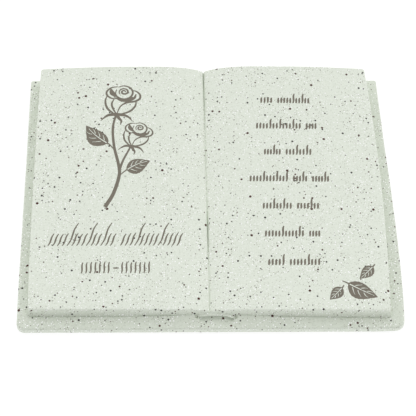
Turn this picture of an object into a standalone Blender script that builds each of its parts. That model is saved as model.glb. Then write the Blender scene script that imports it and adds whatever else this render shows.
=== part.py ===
# An open book lying on its cover board, cast in one piece: a flat memorial for a grave.
# Metres, +Z up. The reader stands on the -Y side, the pages rise towards +Y, and the
# board rests on z = 0.

from math import cos, pi, radians, sin, sqrt

import bmesh
import bpy

# Cover board: straight sizes, then how far its two long sides bow outwards
COVER_WIDTH = 0.2152
COVER_DEPTH = 0.1808
COVER_THICKNESS = 0.0039
COVER_FRONT_CORNER = 0.0046
COVER_BACK_CORNER = 0.0014
COVER_TOP_ROUND = 0.0010
COVER_FOOT_ROUND = 0.0004
COVER_LEFT_BOW = 0.0002
COVER_RIGHT_BOW = 0.0016

# Hand-finished edges out of square: how far an edge's right end is ahead of its middle
BACK_SKEW = 0.0007
PAGE_FRONT_SKEW = -0.0008
# The board's front edge draws in towards its right corner
FRONT_SWEEP = 0.0009
SWEEP_WIDTH = 0.0200

# Margins of bare board around the foot of the pages
LEFT_MARGIN = 0.0057
RIGHT_MARGIN = 0.0073
FRONT_MARGIN = 0.0080
BACK_MARGIN = 0.0026

# Page block: heights over the board at its fore edges, wall slope as run over rise
PAGE_FRONT_HEIGHT = 0.0056
PAGE_BACK_HEIGHT = 0.0168
PAGE_CORNER = 0.0016
PAGE_EDGE_ROUND = 0.0007
PAGE_LEFT_BOW = 0.0008
PAGE_RIGHT_BOW = 0.0027
WALL_SLOPE = 0.159
LEFT_WALL_SLOPE = 0.100

# Each page swells to a crown and drops into the gutter, more so at the back
CROWN_FRONT = 0.0001
CROWN_BACK = 0.0026
GUTTER_FRONT = 0.0012
GUTTER_BACK = 0.0023
CROWN_PLACE = 0.36
VALLEY_WIDTH = 0.0075
VALLEY_DEPTH = 0.0010

# Spine end: the board swells towards it, and a trough with a lip over it cuts the swelling
SPINE_SHIFT = 0.0026
SHOULDER_RISE = 0.0027
SHOULDER_FALL = 1.2
TROUGH_WIDTH = 0.0194
TROUGH_NARROWS = 0.25
TROUGH_DEPTH = 0.0010
TROUGH_FALL = 1.6
TROUGH_BLEND = 0.0015
LIP_REACH = 0.0012
LIP_THICKNESS = 0.0011
LIP_GAP = 0.0005
LIP_END_GAP = 0.00015
LIP_END_DROP = 0.0006
LIP_PLACE = 0.3
# The lip's right end hooks down and forward
RIGHT_END_DROP = 0.00035
RIGHT_END_REACH = 0.0009

# How finely the form is divided
CORNER_STEPS = 3
TROUGH_STEPS = 12
PAGE_STEPS = 8
DEPTH_STEPS = 8
ROUND_STEPS = 3
LIP_STEPS = 4
MARGIN_STEPS = 3
CORNER_SHARE = 0.1

STONE = (0.745, 0.791, 0.701, 1.0)
STONE_ROUGHNESS = 0.62

BOOK = "open_book"


def mix(low, high, share):
    return low + (high - low) * share


def blend_points(low, high, share):
    return tuple(mix(a, b, share) for a, b in zip(low, high))


def smooth_step(share):
    share = min(max(share, 0.0), 1.0)
    return share * share * (3.0 - 2.0 * share)


def clear_scene():
    for item in list(bpy.data.objects):
        bpy.data.objects.remove(item, do_unlink=True)


# Places in plan come from two shares, across and along, that run from -1 to 1. The last
# CORNER_SHARE at each end is the corner's arc, so every outline turns on the same lines.
def outline_point(across, along, sides, corners, bows):
    left, right, front, back = sides
    radius = mix(corners[0], corners[1], (along + 1.0) / 2.0)
    straight = 1.0 - CORNER_SHARE
    p = max(0.0, abs(across) - straight) / CORNER_SHARE
    q = max(0.0, abs(along) - straight) / CORNER_SHARE
    p, q = p * sqrt(1.0 - q * q / 2.0), q * sqrt(1.0 - p * p / 2.0)
    flat_x = min(abs(across) / straight, 1.0) * ((right - left) / 2.0 - radius)
    flat_y = min(abs(along) / straight, 1.0) * ((back - front) / 2.0 - radius)
    side = 1.0 if across > 0.0 else -1.0
    end = 1.0 if along > 0.0 else -1.0
    x = (left + right) / 2.0 + side * (flat_x + p * radius)
    y = (front + back) / 2.0 + end * (flat_y + q * radius)
    return x + side * abs(across) * bows(side, along), y


def even_share(along):
    # The same share measured evenly in depth, for its last tenth covers only a corner's arc.
    arc = PAGE_CORNER / (COVER_DEPTH / 2.0)
    straight = 1.0 - CORNER_SHARE
    past = max(0.0, abs(along) - straight) / CORNER_SHARE
    even = min(abs(along) / straight, 1.0) * (1.0 - arc) + past * arc
    return even if along > 0.0 else -even


def way_back(along):
    return (even_share(along) + 1.0) / 2.0


def cover_bow(side, along):
    # The cover's long sides bow most a third of the way back from the front.
    even = even_share(along)
    skewed = (1.0 - even * even) * (1.0 - even) * 27.0 / 32.0
    return skewed * (COVER_RIGHT_BOW if side > 0.0 else COVER_LEFT_BOW)


def page_bow(side, along):
    return (1.0 - even_share(along) ** 2) * (PAGE_RIGHT_BOW if side > 0.0 else PAGE_LEFT_BOW)


def cover_point(across, along, inset):
    half_width = COVER_WIDTH / 2.0 - inset
    half_depth = COVER_DEPTH / 2.0 - inset
    corners = (
        max(COVER_FRONT_CORNER - inset, COVER_FRONT_CORNER / 4.0),
        max(COVER_BACK_CORNER - inset, COVER_BACK_CORNER / 4.0),
    )
    sides = (-half_width, half_width, -half_depth, half_depth)
    x, y = outline_point(across, along, sides, corners, cover_bow)
    reach = max(0.0, 1.0 - (half_width - x) / SWEEP_WIDTH) ** 2
    swept = FRONT_SWEEP * reach * max(0.0, -y / half_depth) ** 6
    return x, y + swept + BACK_SKEW * way_back(along) * x / half_width


def page_sides(up, inset):
    lean = WALL_SLOPE * up + inset
    return (
        LEFT_MARGIN - COVER_WIDTH / 2.0 + LEFT_WALL_SLOPE * up + inset,
        COVER_WIDTH / 2.0 - RIGHT_MARGIN - lean,
        FRONT_MARGIN - COVER_DEPTH / 2.0 + lean,
        COVER_DEPTH / 2.0 - BACK_MARGIN - lean,
    )


def page_point(across, along, up, inset=0.0):
    corner = max(PAGE_CORNER - inset, PAGE_CORNER / 4.0)
    x, y = outline_point(across, along, page_sides(up, inset), (corner, corner), page_bow)
    return x, y + mix(PAGE_FRONT_SKEW, BACK_SKEW, way_back(along)) * x * 2.0 / COVER_WIDTH


def edge_height(along):
    return mix(PAGE_FRONT_HEIGHT, PAGE_BACK_HEIGHT, way_back(along))


def page_swell(x, along):
    left, right, _, _ = page_sides(edge_height(along), 0.0)
    gutter = (left + right) / 2.0
    side = 1.0 if x > gutter else -1.0
    page_width = (right - left) / 2.0 + page_bow(side, along)
    out = min(abs(x - gutter) / page_width, 1.0)
    back = way_back(along)
    crown = mix(CROWN_FRONT, CROWN_BACK, back)
    depth = mix(GUTTER_FRONT, GUTTER_BACK, back)
    valley = VALLEY_DEPTH * (1.0 - 0.7 * back) * max(0.0, 1.0 - abs(x - gutter) / VALLEY_WIDTH) ** 2
    if out < CROWN_PLACE:
        return crown - (crown + depth) * (1.0 - out / CROWN_PLACE) ** 3 - valley
    return crown * (1.0 - ((out - CROWN_PLACE) / (1.0 - CROWN_PLACE)) ** 2) - valley


def page_round(across, along, turn):
    # The pages' top edge, turning from level at 0 to upright at 1.
    angle = turn * pi / 2.0
    up = edge_height(along)
    x, y = page_point(across, along, up, PAGE_EDGE_ROUND * (1.0 - sin(angle)))
    top = COVER_THICKNESS + up + page_swell(x, along)
    return x, y, top - PAGE_EDGE_ROUND * (1.0 - cos(angle))


def shoulder(x):
    # How far the board swells where the pages meet it, highest at the spine.
    page_half = COVER_WIDTH / 2.0 - max(LEFT_MARGIN, RIGHT_MARGIN)
    return SHOULDER_RISE * max(0.0, 1.0 - abs(x - SPINE_SHIFT) / page_half) ** 2


def trough_share(x, under=0.0):
    # 1 within the trough and 0 outside it, with a short blend. It narrows from lip to rim.
    half = TROUGH_WIDTH / 2.0 * (1.0 - TROUGH_NARROWS * under)
    return 1.0 - smooth_step((abs(x - SPINE_SHIFT) - half) / TROUGH_BLEND + 0.5)


def lip_end(x):
    # From 0 at the lip's middle to 1 at its ends, most of it near them.
    return min(abs(x - SPINE_SHIFT) * 2.0 / TROUGH_WIDTH, 1.0) ** 4


def right_end(x):
    return smooth_step((x - SPINE_SHIFT) * 5.0 / TROUGH_WIDTH - 1.5)


def lip_drop(x):
    return LIP_END_DROP * lip_end(x) + RIGHT_END_DROP * right_end(x)


def trough_rise(x):
    # How high the trough's floor is over the board where it starts, under the lip.
    gap = mix(LIP_GAP, LIP_END_GAP, lip_end(x))
    return max(shoulder(x) - lip_drop(x) - LIP_THICKNESS - gap, 0.0)


def wall_foot(across, along, drop=0.0):
    x, _ = page_point(across, along, 0.0)
    up = max(shoulder(x) - drop, 0.0)
    x, y = page_point(across, along, up)
    return x, y, COVER_THICKNESS + up


def margin_point(across, along, out):
    # The board between the pages' foot at 0 and its own top edge at 1.
    foot_x, foot_y, _ = wall_foot(across, along)
    rim_x, rim_y = cover_point(across, along, COVER_TOP_ROUND)
    up = shoulder(foot_x) * (1.0 - out) ** SHOULDER_FALL
    x, y = mix(foot_x, rim_x, out), mix(foot_y, rim_y, out)
    if along < 1.0:
        return x, y, COVER_THICKNESS + up
    return x, y, COVER_THICKNESS + up * (1.0 - trough_share(foot_x))


def trough_point(across, along, out):
    # At the front of the spine the board starts under the lip and is hollowed to its edge.
    plain = margin_point(across, along, out)
    if along > -1.0:
        return plain
    under = ((out - LIP_PLACE) / (1.0 - LIP_PLACE)) ** 2
    x, y, _ = margin_point(across, along, under)
    fall = trough_rise(x) * (1.0 - under) ** TROUGH_FALL - TROUGH_DEPTH * sin(pi * sqrt(under))
    return blend_points(plain, (x, y, COVER_THICKNESS + fall), trough_share(x, under))


def lip_point(across, along, turn):
    # Round the lip's nose at the front of the spine, and along the board elsewhere.
    plain = margin_point(across, along, LIP_PLACE * turn)
    if along > -1.0:
        return plain
    x, _, _ = wall_foot(across, along)
    x, y, z = wall_foot(across, along, lip_drop(x))
    angle = pi * (0.5 - turn)
    nose = LIP_THICKNESS / 2.0
    most = LIP_REACH + RIGHT_END_REACH * right_end(x)
    reach = 0.0 if turn in (0.0, 1.0) else most - nose + nose * cos(angle)
    tip = (x, y - reach, z - nose + nose * sin(angle))
    return blend_points(plain, tip, trough_share(x))


def cover_round(across, along, turn):
    angle = turn * pi / 2.0
    x, y = cover_point(across, along, COVER_TOP_ROUND * (1.0 - sin(angle)))
    return x, y, COVER_THICKNESS - COVER_TOP_ROUND * (1.0 - cos(angle))


def cover_side(across, along, down):
    x, y = cover_point(across, along, COVER_FOOT_ROUND * down)
    return x, y, COVER_FOOT_ROUND * (1.0 - down)


def across_shares():
    # Close together over the trough, then wider towards the fore edges and their corners.
    left, right, _, _ = page_sides(0.0, 0.0)
    half = (right - left) / 2.0 - PAGE_CORNER
    straight = 1.0 - CORNER_SHARE
    fine = (TROUGH_WIDTH / 2.0 + SPINE_SHIFT + TROUGH_BLEND) / half * straight
    shares = [fine * k / TROUGH_STEPS for k in range(TROUGH_STEPS)]
    shares += [mix(fine, straight, (k / PAGE_STEPS) ** 1.4) for k in range(PAGE_STEPS)]
    shares += corner_shares()
    return [-share for share in reversed(shares[1:])] + shares


def corner_shares():
    straight = 1.0 - CORNER_SHARE
    return [mix(straight, 1.0, k / CORNER_STEPS) for k in range(CORNER_STEPS + 1)]


def along_shares():
    straight = 1.0 - CORNER_SHARE
    ends = corner_shares()
    middle = [mix(-straight, straight, k / DEPTH_STEPS) for k in range(1, DEPTH_STEPS)]
    return [-share for share in reversed(ends)] + middle + ends


def ring_order():
    # Each ring outwards and down from the flat of the pages, as its rule and its share.
    rings = [(page_round, k / ROUND_STEPS) for k in range(1, ROUND_STEPS + 1)]
    rings += [(lip_point, k / LIP_STEPS) for k in range(LIP_STEPS + 1)]
    past_lip = [mix(LIP_PLACE, 1.0, (k + 0.5) / MARGIN_STEPS) for k in range(MARGIN_STEPS)]
    rings += [(trough_point, out) for out in past_lip]
    rings += [(cover_round, k / ROUND_STEPS) for k in range(ROUND_STEPS + 1)]
    rings += [(cover_side, share) for share in (0.0, 1.0)]
    return rings


def book_mesh():
    across, along = across_shares(), along_shares()
    form = bmesh.new()
    plan = form.verts.layers.float_vector.new("plan")
    bmesh.ops.create_grid(form, x_segments=len(across) - 1, y_segments=len(along) - 1, size=1.0)
    for point in form.verts:
        column = round((point.co.x + 1.0) / 2.0 * (len(across) - 1))
        row = round((point.co.y + 1.0) / 2.0 * (len(along) - 1))
        point[plan] = (column, row, 0.0)
        point.co = page_round(across[column], along[row], 0.0)
    edge = [line for line in form.edges if line.is_boundary]
    for rule, share in ring_order():
        made = bmesh.ops.extrude_edge_only(form, edges=edge)["geom"]
        edge = [line for line in made if isinstance(line, bmesh.types.BMEdge) and line.is_boundary]
        for point in {point for line in edge for point in line.verts}:
            column, row, _ = point[plan]
            point.co = rule(across[round(column)], along[round(row)], share)
    bmesh.ops.contextual_create(form, geom=edge)
    bmesh.ops.recalc_face_normals(form, faces=form.faces)
    form.verts.layers.float_vector.remove(plan)
    return form


def stand_on_origin(form):
    # The origin is the middle of the underside's box.
    xs = [point.co.x for point in form.verts]
    ys = [point.co.y for point in form.verts]
    middle = ((min(xs) + max(xs)) / 2.0, (min(ys) + max(ys)) / 2.0, 0.0)
    bmesh.ops.translate(form, vec=[-value for value in middle], verts=form.verts)


def stone_material():
    stone = bpy.data.materials.new("cast_stone")
    stone.use_nodes = True
    shader = stone.node_tree.nodes["Principled BSDF"]
    shader.inputs["Base Color"].default_value = STONE
    shader.inputs["Roughness"].default_value = STONE_ROUGHNESS
    shader.inputs["Metallic"].default_value = 0.0
    return stone


def make_book():
    form = book_mesh()
    stand_on_origin(form)
    mesh = bpy.data.meshes.new(BOOK)
    form.to_mesh(mesh)
    form.free()
    mesh.materials.append(stone_material())
    mesh.shade_smooth()
    mesh.set_sharp_from_angle(angle=radians(35.0))
    book = bpy.data.objects.new(BOOK, mesh)
    group = bpy.data.collections.new("open_book_headstone")
    bpy.context.scene.collection.children.link(group)
    group.objects.link(book)


clear_scene()
make_book()
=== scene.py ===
# An open book cast in pale speckled stone effect, lying on its cover board. A rose spray,
# leaves and rows of strokes are engraved in its pages. Settings are in millimetres and degrees.
from math import cos, hypot, pi, radians, sin, sqrt
from random import Random

import bmesh
import bpy
from mathutils import Matrix, Vector, noise
from mathutils.bvhtree import BVHTree


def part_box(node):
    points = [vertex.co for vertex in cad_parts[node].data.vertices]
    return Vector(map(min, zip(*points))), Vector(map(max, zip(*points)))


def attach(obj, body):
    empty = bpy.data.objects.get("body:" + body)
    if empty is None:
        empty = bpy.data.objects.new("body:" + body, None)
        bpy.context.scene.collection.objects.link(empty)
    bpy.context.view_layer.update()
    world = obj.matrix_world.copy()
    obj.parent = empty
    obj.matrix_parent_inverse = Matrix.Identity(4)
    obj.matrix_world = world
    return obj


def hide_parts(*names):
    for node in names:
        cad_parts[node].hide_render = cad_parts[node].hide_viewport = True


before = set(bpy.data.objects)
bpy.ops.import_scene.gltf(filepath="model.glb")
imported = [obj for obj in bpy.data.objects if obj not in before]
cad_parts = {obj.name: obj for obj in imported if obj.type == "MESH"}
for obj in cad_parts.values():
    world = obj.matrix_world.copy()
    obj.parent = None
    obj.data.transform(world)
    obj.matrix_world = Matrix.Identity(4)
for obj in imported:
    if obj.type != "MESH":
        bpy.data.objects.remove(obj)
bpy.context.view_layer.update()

mm = 0.001
bookLow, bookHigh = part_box("open_book")


def mix(low, high, share):
    return low + (high - low) * share


def blendPoints(low, high, share):
    return tuple(mix(a, b, share) for a, b in zip(low, high))


def smoothStep(share):
    share = min(max(share, 0.0), 1.0)
    return share * share * (3.0 - 2.0 * share)


def smoothPath(points, steps):
    # A smooth curve through given points, with even steps between each two.
    held = [Vector(point) for point in points]
    held = [held[0] * 2.0 - held[1]] + held + [held[-1] * 2.0 - held[-2]]
    path = []
    for a, b, c, d in zip(held, held[1:], held[2:], held[3:]):
        for step in range(steps):
            t = step / steps
            path.append(
                (b * 2.0 + (c - a) * t + (a * 2.0 - b * 5.0 + c * 4.0 - d) * t * t
                 + (b * 3.0 - a - c * 3.0 + d) * t**3) / 2.0
            )
    return path + [held[-2]]


# Camera: stands at the reader's side and looks down on the book
camera = {
    "lens": 128.2, "sensorWide": 36.0, "turn": 3.94, "tilt": 54.02, "roll": 3.16,
    "away": 852.2, "lookAt": (-1.4, -16.4, 15.0), "clipNear": 10.0,
}


def addCamera():
    lens = bpy.data.cameras.new("viewCamera")
    lens.lens = camera["lens"]
    lens.sensor_width = camera["sensorWide"]
    lens.clip_start = camera["clipNear"] * mm
    eye = bpy.data.objects.new("viewCamera", lens)
    bpy.context.scene.collection.objects.link(eye)
    facing = (
        Matrix.Rotation(-radians(camera["turn"]), 4, "Z")
        @ Matrix.Rotation(radians(90.0 - camera["tilt"]), 4, "X")
        @ Matrix.Rotation(radians(camera["roll"]), 4, "Z")
    )
    target = Vector(camera["lookAt"]) * mm
    back = facing @ Vector((0.0, 0.0, camera["away"] * mm))
    eye.matrix_world = Matrix.Translation(target + back) @ facing
    bpy.context.scene.camera = eye


addCamera()
print("camera placed")


# The casting's own form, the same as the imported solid's but finer and softer
book = {
    "wide": (bookHigh.x - bookLow.x) / mm, "deep": 180.8,
    "coverThick": 3.9, "frontCorner": 4.6, "backCorner": 1.4, "topRound": 1.0, "footRound": 0.4,
    "frontSweep": 0.9, "sweepWide": 20.0, "sweepPower": 6, "leftBow": 0.2, "rightBow": 1.6,
    "backSkew": 0.7, "pageFrontSkew": -0.8,
    "leftMargin": 5.7, "rightMargin": 7.3, "frontMargin": 8.0, "backMargin": 2.6,
    "frontHeight": 5.6, "backHeight": 16.8, "pageCorner": 1.6, "pageRound": 0.7,
    "pageLeftBow": 0.8, "pageRightBow": 2.7, "wallSlope": 0.159, "leftSlope": 0.10,
    "frontCrown": 0.1, "backCrown": 2.6, "frontGutter": 1.2, "backGutter": 2.3,
    "valleyWide": 7.5, "valleyDeep": 1.0, "valleyFades": 0.7,
    "notchWide": 0.7, "notchDeep": 0.45, "notchUneven": 0.5, "notchWaves": (0.31, 0.13),
    "crownPlace": 0.36, "rollWide": 5.0, "rollDrop": 0.6,
    "creaseWide": 0.8, "creaseSoft": 0.5, "creaseSharp": 1.8,
    "sharpFrom": 0.6875, "sharpAgain": 0.31, "sharpReach": 0.13,
}
spine = {
    "shift": 2.6, "rise": 2.7, "fall": 1.2,
    "troughWide": 19.4, "troughFall": 1.6, "troughNarrows": 0.25, "troughDeep": 1.0, "endBlend": 1.5,
    "lipReach": 1.2, "lipThick": 1.1, "lipGap": 0.5, "lipEndGap": 0.15, "lipEndDrop": 0.6, "lipPlace": 0.3,
    "rightEndDrop": 0.35, "rightEndReach": 0.9,
    "pits": ((-10.8, 0.5, 1.5, 1.8), (10.9, 0.9, 1.5, 2.0)), "pitsLong": 0.8, "pitsReach": 3.4,
}
division = {
    "cornerShare": 0.1, "cornerSteps": 6, "creaseSteps": 5, "spineSteps": 26, "pageSteps": 24,
    "depthSteps": 34, "roundSteps": 6, "lipSteps": 7, "marginSteps": 6,
}


def outlinePoint(across, along, sides, corners, bow):
    # Shares from -1 to 1 give a place on the outline, and the last of each is a corner's arc.
    left, right, front, back = sides
    radius = mix(corners[0], corners[1], (along + 1.0) / 2.0)
    straight = 1.0 - division["cornerShare"]
    p = max(0.0, abs(across) - straight) / division["cornerShare"]
    q = max(0.0, abs(along) - straight) / division["cornerShare"]
    p, q = p * sqrt(1.0 - q * q / 2.0), q * sqrt(1.0 - p * p / 2.0)
    flatX = min(abs(across) / straight, 1.0) * ((right - left) / 2.0 - radius)
    flatY = min(abs(along) / straight, 1.0) * ((back - front) / 2.0 - radius)
    side = 1.0 if across > 0.0 else -1.0
    end = 1.0 if along > 0.0 else -1.0
    x = (left + right) / 2.0 + side * (flatX + p * radius)
    y = (front + back) / 2.0 + end * (flatY + q * radius)
    return x + side * abs(across) * bow(side, along), y


def evenShare(along):
    # The same share measured evenly in depth, for the last steps to an end cover only a corner's arc.
    arc = book["pageCorner"] / (book["deep"] / 2.0)
    straight = 1.0 - division["cornerShare"]
    past = max(0.0, abs(along) - straight) / division["cornerShare"]
    even = min(abs(along) / straight, 1.0) * (1.0 - arc) + past * arc
    return even if along > 0.0 else -even


def wayBack(along):
    return (evenShare(along) + 1.0) / 2.0


def coverBow(side, along):
    even = evenShare(along)
    skewed = (1.0 - even * even) * (1.0 - even) * 27.0 / 32.0  # most at a third of the way back
    return skewed * (book["rightBow"] if side > 0.0 else book["leftBow"])


def pageBow(side, along):
    return (1.0 - evenShare(along) ** 2) * (book["pageRightBow"] if side > 0.0 else book["pageLeftBow"])


def coverHalves():
    return (book["wide"] - book["leftBow"] - book["rightBow"]) / 2.0, book["deep"] / 2.0


def coverPoint(across, along, inset):
    halfWide, halfDeep = coverHalves()
    corners = [max(book[key] - inset, book[key] / 4.0) for key in ("frontCorner", "backCorner")]
    sides = (inset - halfWide, halfWide - inset, inset - halfDeep, halfDeep - inset)
    x, y = outlinePoint(across, along, sides, corners, coverBow)
    swept = max(0.0, 1.0 - (halfWide - x) / book["sweepWide"]) ** 2
    swept *= max(0.0, -y / halfDeep) ** book["sweepPower"]
    return x, y + book["frontSweep"] * swept + book["backSkew"] * wayBack(along) * x / halfWide


def pageSides(up, inset):
    halfWide, halfDeep = coverHalves()
    lean = book["wallSlope"] * up + inset
    return (
        book["leftMargin"] - halfWide + book["leftSlope"] * up + inset, halfWide - book["rightMargin"] - lean,
        book["frontMargin"] - halfDeep + lean, halfDeep - book["backMargin"] - lean,
    )


def pagePoint(across, along, up, inset=0.0):
    corner = max(book["pageCorner"] - inset, book["pageCorner"] / 4.0)
    x, y = outlinePoint(across, along, pageSides(up, inset), (corner, corner), pageBow)
    skew = mix(book["pageFrontSkew"], book["backSkew"], wayBack(along))
    return x, y + skew * x / coverHalves()[0]


def edgeHeight(along):
    return mix(book["frontHeight"], book["backHeight"], wayBack(along))


def pageSwell(x, along):
    # Each page rises to a crown and drops to the gutter, with a crease along its bottom.
    left, right, _, _ = pageSides(edgeHeight(along), 0.0)
    gutter = (left + right) / 2.0
    side = 1.0 if x > gutter else -1.0
    pageWide = (right - left) / 2.0 + pageBow(side, along)
    off = abs(x - gutter)
    out = min(off / pageWide, 1.0)
    back = wayBack(along)
    crown = mix(book["frontCrown"], book["backCrown"], back)
    depth = mix(book["frontGutter"], book["backGutter"], back)
    place = book["crownPlace"]
    if out < place:
        up = crown - (crown + depth) * (1.0 - out / place) ** 3
    else:
        up = crown * (1.0 - ((out - place) / (1.0 - place)) ** 2)
    valley = book["valleyDeep"] * (1.0 - book["valleyFades"] * back)
    up -= valley * max(0.0, 1.0 - off / book["valleyWide"]) ** 2
    up -= creaseDepth(back) * max(0.0, 1.0 - off / book["creaseWide"]) ** 1.5
    if side > 0.0:  # the right page rolls over softly towards its fore edge, near the reader
        over = max(0.0, 1.0 - (pageWide - off) / book["rollWide"])
        up -= book["rollDrop"] * over**2 * smoothStep(1.0 - back)
    return up


def creaseDepth(back):
    # Sharp at the back and again a third of the way in from the reader, soft between.
    atBack = smoothStep((back - book["sharpFrom"]) / (1.0 - book["sharpFrom"]))
    again = 1.0 - smoothStep(abs(back - book["sharpAgain"]) / book["sharpReach"])
    sharp = max(atBack, again)
    return mix(book["creaseSoft"], book["creaseSharp"], sharp)


def pageEdge(across, along, turn):
    # The pages' top edge, level at 0 and upright at 1; at 0 it is also the page itself.
    angle = turn * pi / 2.0
    up = edgeHeight(along)
    x, y = pagePoint(across, along, up, book["pageRound"] * (1.0 - sin(angle)))
    top = book["coverThick"] + up + pageSwell(x, along)
    return x, y, top - book["pageRound"] * (1.0 - cos(angle))


def shoulder(x):
    pageHalf = coverHalves()[0] - max(book["leftMargin"], book["rightMargin"])
    return spine["rise"] * max(0.0, 1.0 - abs(x - spine["shift"]) / pageHalf) ** 2


def troughShare(x, under=0.0):
    # 1 within the trough and 0 outside it, with a short blend; it narrows from the lip to the rim.
    half = spine["troughWide"] / 2.0 * (1.0 - spine["troughNarrows"] * under)
    return 1.0 - smoothStep((abs(x - spine["shift"]) - half) / spine["endBlend"] + 0.5)


def lipDrop(x):
    middle = min(abs(x - spine["shift"]) * 2.0 / spine["troughWide"], 1.0)
    return spine["lipEndDrop"] * middle**4 + spine["rightEndDrop"] * rightEnd(x)


def rightEnd(x):
    # The lip's right end hooks down and forward.
    return smoothStep((x - spine["shift"]) * 5.0 / spine["troughWide"] - 1.5)


def troughRise(x):
    # How high the trough's floor is over the board where it starts, under the lip.
    middle = min(abs(x - spine["shift"]) * 2.0 / spine["troughWide"], 1.0)
    gap = mix(spine["lipGap"], spine["lipEndGap"], middle**4)
    return max(shoulder(x) - lipDrop(x) - spine["lipThick"] - gap, 0.0)


def pitDepth(x, y):
    # Two small pits, one past each end of the lip, at the foot of the wall. Each holds its place to
    # the right of the spine, its place ahead of the wall, its radius and its depth.
    wallY = book["frontMargin"] - book["deep"] / 2.0
    deep = 0.0
    for off, ahead, radius, most in spine["pits"]:
        away = hypot(x - spine["shift"] - off, (y - wallY + ahead) * spine["pitsLong"]) / radius
        deep = max(deep, most * (1.0 - smoothStep(away)))
    return deep


def wallFoot(across, along, drop=0.0):
    x, _ = pagePoint(across, along, 0.0)
    up = max(shoulder(x) - drop, 0.0)
    x, y = pagePoint(across, along, up)
    return x, y, book["coverThick"] + up


def footNotch(x, out):
    # A fine, uneven groove along the foot of the front wall.
    off = out * book["frontMargin"]
    short, long = book["notchWaves"]
    uneven = 1.0 + book["notchUneven"] * sin(short * x) * sin(long * x + 1.0)
    return book["notchDeep"] * uneven * max(0.0, 1.0 - abs(off / book["notchWide"] - 0.5) * 2.0)


def marginPoint(across, along, out):
    # The bare board, from the pages' foot at 0 to its own top edge at 1.
    footX, footY, _ = wallFoot(across, along)
    rimX, rimY = coverPoint(across, along, book["topRound"])
    up = shoulder(footX) * (1.0 - out) ** spine["fall"]
    if along == 1.0:
        up *= 1.0 - troughShare(footX)
    x, y = mix(footX, rimX, out), mix(footY, rimY, out)
    if along == -1.0:
        up -= footNotch(footX, out) + pitDepth(x, y)
    return x, y, book["coverThick"] + up


def troughPoint(across, along, out):
    # At the front of the spine the board is hollowed from under the lip to its own edge.
    plain = marginPoint(across, along, out)
    if along > -1.0:
        return plain
    under = ((out - spine["lipPlace"]) / (1.0 - spine["lipPlace"])) ** 2
    x, y, _ = marginPoint(across, along, under)
    scoop = spine["troughDeep"] * sin(pi * sqrt(under))
    floor = book["coverThick"] + troughRise(x) * (1.0 - under) ** spine["troughFall"] - scoop
    return blendPoints(plain, (x, y, floor), troughShare(x, under))


def lipPoint(across, along, turn):
    plain = marginPoint(across, along, spine["lipPlace"] * turn)
    if along > -1.0:
        return plain
    x, _, _ = wallFoot(across, along)
    x, y, z = wallFoot(across, along, lipDrop(x))
    angle = pi * (0.5 - turn)
    nose = spine["lipThick"] / 2.0
    most = spine["lipReach"] + spine["rightEndReach"] * rightEnd(x)
    reach = 0.0 if turn in (0.0, 1.0) else most - nose + nose * cos(angle)
    return blendPoints(plain, (x, y - reach, z - nose + nose * sin(angle)), troughShare(x))


def coverEdge(across, along, turn):
    angle = turn * pi / 2.0
    x, y = coverPoint(across, along, book["topRound"] * (1.0 - sin(angle)))
    return x, y, book["coverThick"] - book["topRound"] * (1.0 - cos(angle))


def coverSide(across, along, down):
    x, y = coverPoint(across, along, book["footRound"] * down)
    return x, y, book["footRound"] * (1.0 - down)


def acrossShares():
    # Closest at the gutter's crease, close over the trough, then wider to the fore edges.
    straight = 1.0 - division["cornerShare"]
    left, right, _, _ = pageSides(0.0, 0.0)
    perMm = straight / ((right - left) / 2.0 - book["pageCorner"])
    creaseEnd = book["creaseWide"] * perMm
    spineEnd = (spine["troughWide"] / 2.0 + spine["shift"] + spine["pitsReach"]) * perMm
    shares = [creaseEnd * k / division["creaseSteps"] for k in range(division["creaseSteps"])]
    shares += [mix(creaseEnd, spineEnd, k / division["spineSteps"]) for k in range(division["spineSteps"])]
    shares += [mix(spineEnd, straight, k / division["pageSteps"]) for k in range(division["pageSteps"])]
    shares += cornerShares()
    return [-share for share in reversed(shares[1:])] + shares


def cornerShares():
    steps = division["cornerSteps"]
    return [mix(1.0 - division["cornerShare"], 1.0, k / steps) for k in range(steps + 1)]


def alongShares():
    ends = cornerShares()
    steps = division["depthSteps"]
    return [-share for share in reversed(ends)] + [
        mix(-ends[0], ends[0], k / steps) for k in range(1, steps)
    ] + ends


def ringOrder():
    # The rings that the pages' edge is extruded through, outwards and down to the underside.
    rounds = [k / division["roundSteps"] for k in range(division["roundSteps"] + 1)]
    rings = [(pageEdge, turn) for turn in rounds[1:]]
    rings += [(lipPoint, k / division["lipSteps"]) for k in range(division["lipSteps"] + 1)]
    steps = division["marginSteps"]
    rings += [(troughPoint, mix(spine["lipPlace"], 1.0, (k + 0.5) / steps)) for k in range(steps)]
    rings += [(coverEdge, turn) for turn in rounds]
    return rings + [(coverSide, 0.0), (coverSide, 1.0)]


def bookForm():
    across, along = acrossShares(), alongShares()
    form = bmesh.new()
    plan = form.verts.layers.float_vector.new("plan")
    bmesh.ops.create_grid(form, x_segments=len(across) - 1, y_segments=len(along) - 1, size=1.0)
    for point in form.verts:
        column = round((point.co.x + 1.0) / 2.0 * (len(across) - 1))
        row = round((point.co.y + 1.0) / 2.0 * (len(along) - 1))
        point[plan] = (column, row, 0.0)
        point.co = pageEdge(across[column], along[row], 0.0)
    edge = [line for line in form.edges if line.is_boundary]
    for rule, share in ringOrder():
        made = bmesh.ops.extrude_edge_only(form, edges=edge)["geom"]
        edge = [line for line in made if isinstance(line, bmesh.types.BMEdge) and line.is_boundary]
        for point in {point for line in edge for point in line.verts}:
            column, row, _ = point[plan]
            point.co = rule(across[round(column)], along[round(row)], share)
    bmesh.ops.contextual_create(form, geom=edge)
    form.verts.layers.float_vector.remove(plan)
    return form


# Hand casting leaves the surface a little uneven
unevenness = {"size": 0.16, "spacing": 26.0, "seed": 7}


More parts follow.
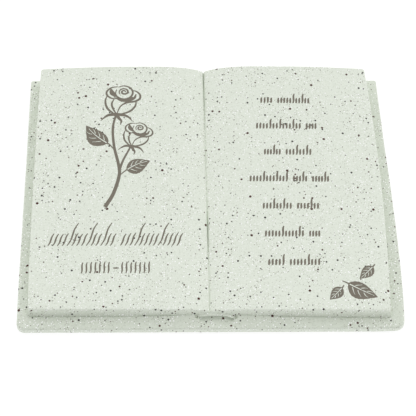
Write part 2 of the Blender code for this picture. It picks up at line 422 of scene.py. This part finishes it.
def setInBox(form):
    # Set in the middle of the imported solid's box, and never past it.
    noise.seed_set(unevenness["seed"])
    low, high = bookLow / mm, bookHigh / mm
    middle = [(low[k] + high[k]) / 2.0 for k in (0, 1)]
    for k in (0, 1):
        values = [point.co[k] for point in form.verts]
        middle[k] -= (min(values) + max(values)) / 2.0
    bmesh.ops.translate(form, vec=(*middle, 0.0), verts=form.verts)
    for point in form.verts:
        if point.co.z > book["footRound"] / 2.0:
            point.co += noise.noise_vector(point.co / unevenness["spacing"]) * unevenness["size"]
        point.co = [min(max(value, a), b) for value, a, b in zip(point.co, low, high)]
    bmesh.ops.recalc_face_normals(form, faces=form.faces)


def newObject(name, form):
    mesh = bpy.data.meshes.new(name)
    form.to_mesh(mesh)
    form.free()
    piece = bpy.data.objects.new(name, mesh)
    bpy.context.scene.collection.objects.link(piece)
    return piece


bookBody = bookForm()
setInBox(bookBody)
pageSurface = BVHTree.FromBMesh(bookBody)
print("book formed,", len(bookBody.faces), "faces")


# Engraving: grooves with sloping sides, swept along paths laid on the pages
groove = {
    "deep": 0.30, "lift": 0.35, "sideSlope": 0.35, "mostNarrowed": 0.7, "paintBelow": 0.10,
    "castFrom": 60.0, "sharpAngle": 35.0,
}


def surfaceHeight(place):
    found, _, _, _ = pageSurface.ray_cast(Vector((*place, groove["castFrom"])), Vector((0.0, 0.0, -1.0)))
    return found.z


def grooveCorners(left, right):
    # Four corners of a groove's section: wider above the page and narrower at its floor.
    apart = right - left
    half = apart.length / 2.0
    outwards = apart.normalized()
    wider = outwards * groove["sideSlope"] * groove["lift"]
    narrower = outwards * min(groove["sideSlope"] * groove["deep"], half * groove["mostNarrowed"])
    leftHeight, rightHeight = surfaceHeight(left), surfaceHeight(right)
    return [
        (*(left - wider), leftHeight + groove["lift"]),
        (*(right + wider), rightHeight + groove["lift"]),
        (*(right - narrower), rightHeight - groove["deep"]),
        (*(left + narrower), leftHeight - groove["deep"]),
    ]


def sweepGroove(tool, stations):
    # One section face is extruded from station to station and closes the groove's body.
    corner = tool.verts.layers.int["corner"]
    ring = bmesh.ops.create_circle(tool, cap_ends=True, segments=4, radius=1.0)["verts"]
    for number, point in enumerate(ring):
        point[corner] = number
    face = ring[0].link_faces[0]
    for number, (left, right) in enumerate(stations):
        if number:
            made = bmesh.ops.extrude_face_region(tool, geom=[face])["geom"]
            if number > 1:
                bmesh.ops.delete(tool, geom=[face], context="FACES_ONLY")
            face = next(item for item in made if isinstance(item, bmesh.types.BMFace))
        corners = grooveCorners(left, right)
        for point in face.verts:
            point.co = corners[point[corner]]


def newTool():
    tool = bmesh.new()
    tool.verts.layers.int.new("corner")
    return tool


def strokeStations(path, widths):
    # Left and right points along a path, from its width at each share of the way.
    stations = []
    for number, here in enumerate(path):
        before, after = path[max(number - 1, 0)], path[min(number + 1, len(path) - 1)]
        ahead = (after - before).normalized()
        sideways = Vector((-ahead.y, ahead.x)) * widths(number / (len(path) - 1)) / 2.0
        stations.append((here + sideways, here - sideways))
    return stations


def penWidth(thin, thick):
    return lambda share: thin + (thick - thin) * sin(pi * share)


def taperWidth(start, end):
    return lambda share: mix(start, end, share)


def drawStroke(tool, points, widths, steps=5):
    sweepGroove(tool, strokeStations(smoothPath(points, steps), widths))


def addBody(bodies, stations):
    # Lines that meet others are bodies of their own, which are merged one by one later.
    bodies.append(newTool())
    sweepGroove(bodies[-1], stations)


# Rows of strokes in place of words: even low ticks with a tall one after every few, which spell
# nothing. A lowest tick is this share of the low height, and each starts this far into its place.
tickLowest, tickInset = 0.92, 0.25
verse = {
    "middle": 46.7, "firstBaseline": 57.4, "spacing": 18.53, "gap": 2.3, "low": 4.1, "tall": 7.0,
    "words": (
        (8.0, 20.0), (27.5, 7.0), (10.5, 16.0), (23.0, 9.0, 10.5), (17.5, 13.5), (23.0, 7.0), (10.0, 18.0),
    ),
    "pitch": 1.9, "lean": 0.16, "curl": 0.03, "thin": 0.80, "thick": 1.28, "tallAfter": (3, 5), "seed": 11,
}
dateRow = {
    "left": -73.8, "baseline": -58.8, "low": 7.4, "tall": 7.4, "words": (17.4, 17.6),
    "dash": 3.4, "dashRise": 0.45,
    "gap": 1.6, "pitch": 2.4, "lean": 0.10, "curl": 0.03, "thin": 0.6, "thick": 1.02, "tallAfter": (3, 5),
    "seed": 5,
}
nameRow = {
    "left": -93.2, "baseline": -41.0, "low": 8.4, "tall": 15.0, "words": (38.0, 34.6), "gap": 3.0,
    "pitch": 2.7, "lean": 0.42, "curl": 0.035, "thin": 0.55, "thick": 1.02, "tallAfter": (3, 5), "seed": 9,
}


def drawTick(tool, row, x, y, height):
    # A leaning stroke, bent a little both ways, that swells in its middle.
    points = []
    for share in (0.0, 0.25, 0.5, 0.75, 1.0):
        off = row["lean"] * share + row["curl"] * sin(2.0 * pi * share)
        points.append((x + height * off, y + height * share))
    drawStroke(tool, points, penWidth(row["thin"], row["thick"]), 3)


def drawWord(tool, row, random, left, y, wide):
    count = max(2, round(wide / row["pitch"]))
    pitch = wide / count
    nextTall = random.randint(*row["tallAfter"])
    for place in range(count):
        height = row["low"] * random.uniform(tickLowest, 1.0)
        if place == nextTall:
            height = row["tall"]
            nextTall += random.randint(*row["tallAfter"])
        drawTick(tool, row, left + pitch * (place + tickInset), y, height)


def drawVerse(tool):
    random = Random(verse["seed"])
    for number, words in enumerate(verse["words"]):
        y = verse["firstBaseline"] - number * verse["spacing"]
        x = verse["middle"] - (sum(words) + verse["gap"] * (len(words) - 1)) / 2.0
        for wide in words:
            drawWord(tool, verse, random, x, y, wide)
            x += wide + verse["gap"]


def drawDateRow(tool):
    random = Random(dateRow["seed"])
    first, second = dateRow["words"]
    x, y = dateRow["left"], dateRow["baseline"]
    drawWord(tool, dateRow, random, x, y, first)
    x += first + dateRow["gap"] / 2.0
    middle = y + dateRow["low"] * dateRow["dashRise"]
    dash = [(x + dateRow["dash"] * share, middle) for share in (0.0, 0.5, 1.0)]
    drawStroke(tool, dash, penWidth(dateRow["thin"], dateRow["thick"]))
    drawWord(tool, dateRow, random, x + dateRow["dash"] + dateRow["gap"] / 2.0, y, second)


def drawNameRow(tool):
    random = Random(nameRow["seed"])
    x = nameRow["left"]
    for wide in nameRow["words"]:
        drawWord(tool, nameRow, random, x, nameRow["baseline"], wide)
        x += wide + nameRow["gap"]


# Rose spray: two blooms on one stem, each drawn from the same lines
bloomLines = {
    # name: (how heavy its pen is, its points), in shares of the bloom's size up from its foot
    "innerRing": (1.0, ((0.02, 1.74), (-0.03, 1.42), (0.18, 1.16), (0.52, 1.08), (0.84, 1.26), (0.93, 1.60),
                        (0.74, 1.88), (0.42, 1.99), (0.12, 1.90))),
    "leftLip": (1.0, ((0.10, 1.93), (-0.26, 1.87), (-0.52, 1.62), (-0.50, 1.34), (-0.22, 1.13),
                      (0.12, 1.12))),
    "leftFold": (2.4, ((-0.30, 1.80), (-0.22, 1.50), (0.04, 1.24))),
    "leftSide": (1.1, ((-0.50, 1.36), (-0.60, 0.96), (-0.50, 0.50), (-0.22, 0.18), (0.0, 0.02))),
    "middleSide": (1.0, ((-0.10, 1.12), (-0.24, 0.76), (-0.14, 0.38), (0.04, 0.06))),
    "underRing": (1.7, ((-0.04, 1.20), (0.26, 1.02), (0.62, 1.00), (0.94, 1.22))),
    "rightLip": (1.1, ((0.06, 0.14), (0.26, 0.60), (0.62, 0.84), (1.04, 0.92), (1.32, 1.10), (1.34, 1.38),
                       (1.14, 1.60), (0.94, 1.66))),
    "rightFold": (1.5, ((0.40, 0.74), (0.74, 0.98), (1.02, 1.16), (1.12, 1.42))),
    "rightSide": (1.1, ((1.12, 0.94), (1.08, 0.62), (0.84, 0.30), (0.48, 0.12), (0.10, 0.05))),
}
sepals = (
    ((0.10, 0.06), (-0.34, 0.02), (-0.60, -0.12), (-0.84, -0.36)),
    ((-0.10, 0.05), (0.40, 0.0), (0.70, -0.14), (0.92, -0.42)),
    ((-0.02, 0.08), (0.16, -0.20), (0.30, -0.40), (0.26, -0.66)),
)
spray = {
    "blooms": (
        {"foot": (-55.0, 48.4), "size": 10.7, "turn": 0.0},
        {"foot": (-45.9, 26.0), "size": 8.6, "turn": -6.0},
    ),
    "thin": 0.62, "thick": 1.28, "sepalWide": 2.4, "sepalTip": 0.5, "sepalPower": 1.4,
    "spiral": {
        "at": (0.45, 1.58), "out": 0.30, "inner": 0.16, "squash": 0.86,
        "turns": 1.7, "start": -0.5, "steps": 30,
    },
    "stem": (
        (-55.0, 48.6), (-56.7, 39.0), (-55.8, 26.0), (-53.2, 14.0),
        (-52.6, 6.0), (-55.9, -6.6), (-60.6, -15.6),
    ),
    "stemWide": (1.3, 2.4),
    "branch": ((-52.7, 9.0), (-50.4, 16.4), (-45.9, 26.2)), "branchWide": (1.6, 1.1),
}


def bloomPlace(bloom, point):
    turned = Matrix.Rotation(radians(bloom["turn"]), 2) @ Vector(point)
    return Vector(bloom["foot"]) + turned * bloom["size"]


def drawBloom(bodies, bloom):
    scale = bloom["size"] / spray["blooms"][0]["size"]
    thin, thick = spray["thin"] * scale, spray["thick"] * scale
    for weight, points in bloomLines.values():
        path = smoothPath([bloomPlace(bloom, point) for point in points], 5)
        addBody(bodies, strokeStations(path, penWidth(thin, thick * weight)))
    spiral, turn = [], spray["spiral"]
    for step in range(turn["steps"] + 1):
        share = step / turn["steps"]
        angle = 2.0 * pi * turn["turns"] * share + turn["start"]
        reach = turn["out"] * mix(turn["inner"], 1.0, share)
        off = (reach * cos(angle), reach * turn["squash"] * sin(angle))
        spiral.append(bloomPlace(bloom, (turn["at"][0] + off[0], turn["at"][1] + off[1])))
    addBody(bodies, strokeStations(spiral, penWidth(thin, thick)))
    for points in sepals:
        path = smoothPath([bloomPlace(bloom, point) for point in points], 5)
        addBody(bodies, strokeStations(path, sepalWidth(scale)))


def sepalWidth(scale):
    return lambda share: scale * mix(spray["sepalWide"], spray["sepalTip"], share ** spray["sepalPower"])


def drawSpray(bodies):
    for bloom in spray["blooms"]:
        drawBloom(bodies, bloom)
    for name in ("stem", "branch"):
        path = smoothPath(spray[name], 6)
        addBody(bodies, strokeStations(path, taperWidth(*spray[name + "Wide"])))


# Leaves: each blade is cut away but for its veins
leaves = {
    "sprayLeft": {
        "stalk": (-55.6, 23.6), "foot": (-59.6, 28.2), "tip": (-72.6, 41.2), "wide": 11.2,
        "bend": 0.9, "skew": 0.22,
    },
    "sprayRight": {
        "stalk": (-52.6, 5.6), "foot": (-48.4, 9.6), "tip": (-34.6, 16.0), "wide": 10.2,
        "bend": 1.0, "skew": -0.20,
    },
    "cornerLarge": {
        "stalk": (73.0, -64.0), "foot": (76.2, -65.6), "tip": (92.2, -74.2), "wide": 11.0,
        "bend": -0.2, "skew": -0.20,
    },
    "cornerLeft": {
        "stalk": (73.8, -66.6), "foot": (72.6, -68.2), "tip": (65.2, -75.8), "wide": 7.0,
        "bend": 0.2, "skew": 0.0,
    },
    "cornerUpper": {
        "stalk": (92.2, -53.0), "foot": (91.0, -54.6), "tip": (82.9, -62.6), "wide": 7.0,
        "bend": 0.2, "skew": 0.0,
    },
}
leafStyle = {
    "steps": 28, "teeth": 8, "toothDeep": 0.05, "fullPlace": 0.76, "fullRound": 0.85, "tipThins": 0.35,
    "leastHalf": 0.08, "ribWide": 0.66, "ribTip": 0.25, "ribFrom": 0.05, "ribTo": 0.88, "ribSteps": 8,
    "veins": 3, "veinWide": 0.46, "veinFrom": 0.12, "veinStep": 0.20, "veinOffset": 0.06,
    "veinStart": 0.18, "veinTo": 0.72, "veinAhead": 0.34, "veinCurve": 1.3, "veinSteps": 5,
    "stalkWide": 1.05, "stalkThin": 0.6, "stalkBefore": -0.08, "stalkInto": 0.05, "evenScale": 0.45,
}


def leafPlace(leaf, along, out):
    # A place on the blade: along the rib from foot to tip, and out to either side.
    foot, tip = Vector(leaf["foot"]), Vector(leaf["tip"])
    ahead = tip - foot
    sideways = Vector((-ahead.y, ahead.x)).normalized()
    return foot + ahead * along + sideways * (out + leaf["bend"] * sin(pi * along))


def bladeHalf(leaf, along, side):
    # Fullest at two fifths of the way and on one side, with a drawn-out tip and a finely toothed edge.
    style = leafStyle
    full = sin(pi * along ** style["fullPlace"]) ** style["fullRound"] * (1.0 - style["tipThins"] * along**3)
    tooth = (along * style["teeth"]) % 1.0
    half = leaf["wide"] / 2.0 * (1.0 + side * leaf["skew"])
    return half * full * (1.0 - style["toothDeep"] * tooth) + style["leastHalf"]


def drawBlade(tool, leaf):
    steps = leafStyle["steps"]
    stations = []
    for step in range(steps + 1):
        along = step / steps
        left, right = (side * bladeHalf(leaf, along, side) for side in (1.0, -1.0))
        stations.append((leafPlace(leaf, along, left), leafPlace(leaf, along, right)))
    sweepGroove(tool, stations)


def drawStalk(bodies, leaf):
    style = leafStyle
    blade = [leafPlace(leaf, along, 0.0) for along in (style["stalkBefore"], style["stalkInto"])]
    wide = style["stalkWide"]
    path = smoothPath((leaf["stalk"], *blade), 4)
    addBody(bodies, strokeStations(path, taperWidth(wide * style["stalkThin"], wide)))


def drawVeins(tool, leaf):
    # Ridges left standing in the blade: a rib, and side veins that sweep forward from near it.
    style = leafStyle
    scale = mix(style["evenScale"], 1.0, leaf["wide"] / leaves["sprayLeft"]["wide"])
    shares = [k / style["ribSteps"] for k in range(style["ribSteps"] + 1)]
    rib = [leafPlace(leaf, mix(style["ribFrom"], style["ribTo"], share), 0.0) for share in shares]
    sweepGroove(tool, strokeStations(rib, taperWidth(style["ribWide"] * scale, style["ribTip"])))
    for number in range(style["veins"]):
        for side in (-1.0, 1.0):
            root = style["veinFrom"] + style["veinStep"] * number
            root += style["veinOffset"] if side > 0.0 else 0.0
            points = []
            for k in range(style["veinSteps"] + 1):
                out = mix(style["veinStart"], style["veinTo"], k / style["veinSteps"])
                along = root + style["veinAhead"] * out ** style["veinCurve"]
                points.append(leafPlace(leaf, along, side * out * bladeHalf(leaf, along, side)))
            sweepGroove(tool, strokeStations(points, veinWidth(style["veinWide"] * scale)))


def veinWidth(wide):
    # Fullest a third of the way out, and three tenths of its width at its end.
    return lambda share: wide * (0.3 + 0.7 * sin(pi * min(share * 1.15 + 0.12, 1.0)))


def applyCut(target, tool, operation):
    # Applies one Boolean to the target's mesh and drops the tool.
    work = target.modifiers.new("cut", "BOOLEAN")
    work.operation = operation
    work.object = tool
    work.solver = "MANIFOLD"
    bpy.context.view_layer.update()
    graph = bpy.context.evaluated_depsgraph_get()
    made = bpy.data.meshes.new_from_object(target.evaluated_get(graph))
    target.modifiers.remove(work)
    target.data = made


def closedTool(tool):
    bmesh.ops.recalc_face_normals(tool, faces=tool.faces)
    bmesh.ops.triangulate(tool, faces=tool.faces)
    return newObject("grooveTool", tool)


def removePiece(piece):
    bpy.data.objects.remove(piece)


def mergedTool(bodies):
    merged = closedTool(bodies[0])
    for body in bodies[1:]:
        other = closedTool(body)
        applyCut(merged, other, "UNION")
        removePiece(other)
    return merged


def joinedTool(tools):
    # For tools that don't touch each other.
    form = bmesh.new()
    for tool in tools:
        form.from_mesh(tool.data)
        removePiece(tool)
    return newObject("allGrooves", form)


rowsTool = newTool()
drawVerse(rowsTool)
drawDateRow(rowsTool)
drawNameRow(rowsTool)
sprayBodies = []
drawSpray(sprayBodies)
bladesTool, veinsTool = newTool(), newTool()
for leaf in leaves.values():
    drawBlade(bladesTool, leaf)
    drawVeins(veinsTool, leaf)
    drawStalk(sprayBodies, leaf)
blades, veins = closedTool(bladesTool), closedTool(veinsTool)
applyCut(blades, veins, "DIFFERENCE")
removePiece(veins)
sprayTool = mergedTool(sprayBodies)
applyCut(sprayTool, blades, "UNION")
removePiece(blades)
allGrooves = joinedTool([closedTool(rowsTool), sprayTool])
print("strokes drawn,", len(allGrooves.data.polygons), "faces")

bmesh.ops.triangulate(bookBody, faces=bookBody.faces)
bookPiece = newObject("bookCasting", bookBody)
paintPiece = bpy.data.objects.new("engravingPaint", bookPiece.data.copy())
bpy.context.scene.collection.objects.link(paintPiece)
paintPiece.data.transform(Matrix.Translation((0.0, 0.0, -groove["paintBelow"])))
applyCut(paintPiece, allGrooves, "INTERSECT")
applyCut(bookPiece, allGrooves, "DIFFERENCE")
removePiece(allGrooves)
for piece in (bookPiece, paintPiece):
    piece.data.transform(Matrix.Scale(mm, 4))
    piece.data.shade_smooth()
    piece.data.set_sharp_from_angle(angle=radians(groove["sharpAngle"]))
print("engraved,", len(bookPiece.data.polygons), "and", len(paintPiece.data.polygons), "faces")


# Materials
def linear(hexColour):
    # An sRGB hex colour as the linear values that shaders take.
    values = [int(hexColour[k : k + 2], 16) / 255.0 for k in (1, 3, 5)]
    return [v / 12.92 if v <= 0.04045 else ((v + 0.055) / 1.055) ** 2.4 for v in values] + [1.0]


def addNode(tree, kind, settings=None, links=None):
    # Adds a node, sets its properties or sockets by name, and links sockets to others' outputs.
    node = tree.nodes.new(kind)
    settings = settings or {}
    for name in [name for name in settings if isinstance(name, str) and name not in node.inputs]:
        setattr(node, name, settings[name])
    for name in [name for name in settings if isinstance(name, int) or name in node.inputs]:
        node.inputs[name].default_value = settings[name]
    for name, output in (links or {}).items():
        tree.links.new(output, node.inputs[name])
    return node


def newMaterial(name):
    material = bpy.data.materials.new(name)
    material.use_nodes = True
    return material, material.node_tree, material.node_tree.nodes["Principled BSDF"]


# The dull colour and its heights darken the board's top beside the pages: painted shade standing in for the
# page block's shadow on the margins.
stone = {
    "page": "#E2E8DC", "grain": "#C8CFC0", "paintedShade": "#F1F2F0", "rough": 0.62, "grainSize": 0.9,
    "paintedShadeFull": 4.6, "paintedShadeEnds": 9.0, "paintedShadeRimFull": 3.7, "paintedShadeRimEnds": 2.8,
    "clusterSize": 13.0, "clusterLow": 0.25, "clusterHigh": 1.75,
    "grainStrong": 0.35, "grainHigh": 0.06, "speckEdge": 0.1, "speckLeast": 0.5,
}
# Specks of crushed stone: one to each cell of a 3-D grid, in a share of the cells
specks = (
    {"colour": "#FFFFFF", "cell": 1.2, "radius": 0.38, "kept": 0.62, "shift": 0.021},
    {"colour": "#A3A596", "cell": 1.1, "radius": 0.30, "kept": 0.55, "shift": 0.013},
    {"colour": "#3E2616", "cell": 2.0, "radius": 0.40, "kept": 0.32, "shift": 0.041},
    {"colour": "#140702", "cell": 3.1, "radius": 0.64, "kept": 0.38, "shift": 0.063},
    {"colour": "#421504", "cell": 4.4, "radius": 0.82, "kept": 0.36, "shift": 0.087},
)


def speckShare(tree, place, clusters, speck):
    # 1 inside a layer's specks and 0 outside, with an edge a tenth of a millimetre soft.
    cell, radius, shift = speck["cell"], speck["radius"], speck["shift"]
    moved = addNode(tree, "ShaderNodeVectorMath", {"operation": "ADD", 1: (shift, shift, shift)}, {0: place})
    cells = addNode(tree, "ShaderNodeTexVoronoi", {"Scale": 1.0 / (cell * mm)}, {"Vector": moved.outputs[0]})
    random = addNode(tree, "ShaderNodeSeparateColor", {}, {"Color": cells.outputs["Color"]})
    reach = addNode(
        tree, "ShaderNodeMapRange", {"To Min": stone["speckLeast"] * radius / cell, "To Max": radius / cell},
        {"Value": random.outputs[1]})
    inside = addNode(
        tree, "ShaderNodeMath", {"operation": "SUBTRACT"},
        {0: reach.outputs[0], 1: cells.outputs["Distance"]})
    edge = addNode(
        tree, "ShaderNodeMath",
        {"operation": "MULTIPLY_ADD", 1: cell / stone["speckEdge"], 2: 0.5, "use_clamp": True},
        {0: inside.outputs[0]})
    limit = addNode(tree, "ShaderNodeMath", {"operation": "MULTIPLY", 1: speck["kept"]}, {0: clusters})
    kept = addNode(
        tree, "ShaderNodeMath", {"operation": "LESS_THAN"}, {0: random.outputs[0], 1: limit.outputs[0]})
    share = addNode(
        tree, "ShaderNodeMath", {"operation": "MULTIPLY"}, {0: edge.outputs[0], 1: kept.outputs[0]})
    return share.outputs[0]


def castStone():
    # Polyester resin filled with stone powder, cast in a mould: pale, matt, faintly green and even,
    # with crushed stone specks that gather in loose clusters and a fine mould grain.
    material, tree, shader = newMaterial("castResinStone")
    place = addNode(tree, "ShaderNodeTexCoord").outputs["Object"]
    grain = addNode(
        tree, "ShaderNodeTexNoise",
        {"Scale": 1.0 / (stone["grainSize"] * mm), "Detail": 3.0, "Roughness": 0.6},
        {"Vector": place})
    grainShare = addNode(
        tree, "ShaderNodeMapRange", {"From Min": 0.50, "From Max": 0.80}, {"Value": grain.outputs[0]})
    colour = addNode(
        tree, "ShaderNodeMix", {"data_type": "RGBA", 6: linear(stone["page"]), 7: linear(stone["grain"])},
        {0: grainShare.outputs[0]})
    # Painted shade: from 3.7 to 4.6 mm up, on the board's top and the foot of the page walls, the colour is
    # darkened. It fades out up the walls by 9 mm and down the board's side by 2.8 mm, standing in for the
    # block's shadow on the margins.
    height = addNode(tree, "ShaderNodeSeparateXYZ", {}, {0: place}).outputs["Z"]
    paintedShadeNearBoard = addNode(
        tree, "ShaderNodeMapRange",
        {"From Min": stone["paintedShadeEnds"] * mm, "From Max": stone["paintedShadeFull"] * mm,
         "interpolation_type": "SMOOTHSTEP"},
        {"Value": height})
    paintedShadeAboveRim = addNode(
        tree, "ShaderNodeMapRange",
        {"From Min": stone["paintedShadeRimEnds"] * mm, "From Max": stone["paintedShadeRimFull"] * mm}, {"Value": height})
    paintedShadeShare = addNode(
        tree, "ShaderNodeMath", {"operation": "MULTIPLY"}, {0: paintedShadeNearBoard.outputs[0], 1: paintedShadeAboveRim.outputs[0]})
    paintedShadeColour = addNode(
        tree, "ShaderNodeMix", {"data_type": "RGBA", "blend_type": "MULTIPLY", 7: linear(stone["paintedShade"])},
        {0: paintedShadeShare.outputs[0], 6: colour.outputs[2]})
    gather = addNode(
        tree, "ShaderNodeTexNoise", {"Scale": 1.0 / (stone["clusterSize"] * mm), "Detail": 2.0},
        {"Vector": place})
    clusters = addNode(
        tree, "ShaderNodeMapRange",
        {"From Min": 0.32, "From Max": 0.68, "To Min": stone["clusterLow"], "To Max": stone["clusterHigh"]},
        {"Value": gather.outputs[0]}).outputs[0]
    last = paintedShadeColour.outputs[2]
    for speck in specks:
        share = speckShare(tree, place, clusters, speck)
        layer = addNode(
            tree, "ShaderNodeMix", {"data_type": "RGBA", 7: linear(speck["colour"])}, {0: share, 6: last})
        last = layer.outputs[2]
    tree.links.new(last, shader.inputs["Base Color"])
    bump = addNode(
        tree, "ShaderNodeBump", {"Strength": stone["grainStrong"], "Distance": stone["grainHigh"] * mm},
        {"Height": grain.outputs[0]})
    tree.links.new(bump.outputs[0], shader.inputs["Normal"])
    shader.inputs["Roughness"].default_value = stone["rough"]
    shader.inputs["IOR"].default_value = 1.5
    return material


paint = {"dark": "#6B6559", "pale": "#7F786B", "rough": 0.7, "washSize": 1.6}


def engravingPaint():
    # Masonry paint rubbed into the grooves: a flat warm grey-brown with no shine, a little lighter
    # where it went on thin, so that the lines read clearly against the pale stone.
    material, tree, shader = newMaterial("engravingPaint")
    place = addNode(tree, "ShaderNodeTexCoord").outputs["Object"]
    wash = addNode(
        tree, "ShaderNodeTexNoise", {"Scale": 1.0 / (paint["washSize"] * mm), "Detail": 3.0},
        {"Vector": place})
    colour = addNode(
        tree, "ShaderNodeMix", {"data_type": "RGBA", 6: linear(paint["dark"]), 7: linear(paint["pale"])},
        {0: wash.outputs[0]})
    tree.links.new(colour.outputs[2], shader.inputs["Base Color"])
    shader.inputs["Roughness"].default_value = paint["rough"]
    return material


bookPiece.data.materials.clear()
bookPiece.data.materials.append(castStone())
paintPiece.data.materials.clear()
paintPiece.data.materials.append(engravingPaint())
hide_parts("open_book")
for piece in (bookPiece, paintPiece):
    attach(piece, "root")
print("finished surfaces")


# Studio: a grey floor that glows to white, soft light from all round that is strongest from behind
# the book and a little stronger low down, and a soft box from the front right
studio = {
    "floor": "#9A9A9A", "floorGlow": 0.74, "floorHalf": 6.0, "floorDrop": 0.05,
    "airEven": 0.975, "airBehind": 0.74, "airLow": 0.04,
    "lightWide": 0.6, "lightAt": (0.45, -1.4, 0.28), "lightPower": 2.6,
}


def addStudio():
    form = bmesh.new()
    bmesh.ops.create_grid(form, x_segments=1, y_segments=1, size=studio["floorHalf"])
    bmesh.ops.translate(form, vec=(0.0, 0.0, -studio["floorDrop"] * mm), verts=form.verts)
    floor = newObject("studioFloor", form)
    material, _, shader = newMaterial("floorPaper")
    shader.inputs["Base Color"].default_value = linear(studio["floor"])
    shader.inputs["Roughness"].default_value = 0.9
    shader.inputs["Emission Color"].default_value = linear("#FFFFFF")
    shader.inputs["Emission Strength"].default_value = studio["floorGlow"]
    floor.data.materials.append(material)
    softBox = bpy.data.lights.new("softBox", "AREA")
    softBox.shape = "DISK"
    softBox.size = studio["lightWide"]
    softBox.energy = studio["lightPower"]
    lamp = bpy.data.objects.new("softBox", softBox)
    bpy.context.scene.collection.objects.link(lamp)
    lamp.location = studio["lightAt"]
    lamp.rotation_euler = (-Vector(studio["lightAt"])).to_track_quat("-Z", "Y").to_euler()
    world = bpy.data.worlds.new("studioAir")
    world.use_nodes = True
    tree = world.node_tree
    facing = addNode(tree, "ShaderNodeTexCoord").outputs["Generated"]
    axes = addNode(tree, "ShaderNodeSeparateXYZ", {}, {0: facing})
    behind = addNode(
        tree, "ShaderNodeMath", {"operation": "MULTIPLY_ADD", 1: studio["airBehind"], 2: studio["airEven"]},
        {0: axes.outputs["Y"]})
    sink = addNode(
        tree, "ShaderNodeMath", {"operation": "SUBTRACT", 0: 1.0, "use_clamp": True}, {1: axes.outputs["Z"]})
    low = addNode(tree, "ShaderNodeMath", {"operation": "POWER", 1: 2.0}, {0: sink.outputs[0]})
    strength = addNode(
        tree, "ShaderNodeMath", {"operation": "MULTIPLY_ADD", 1: studio["airLow"]},
        {0: low.outputs[0], 2: behind.outputs[0]})
    air = tree.nodes["Background"]
    air.inputs["Color"].default_value = linear("#FFFFFF")
    tree.links.new(strength.outputs[0], air.inputs["Strength"])
    bpy.context.scene.world = world
    bpy.context.scene.view_settings.view_transform = "Standard"


addStudio()
print("studio lit")
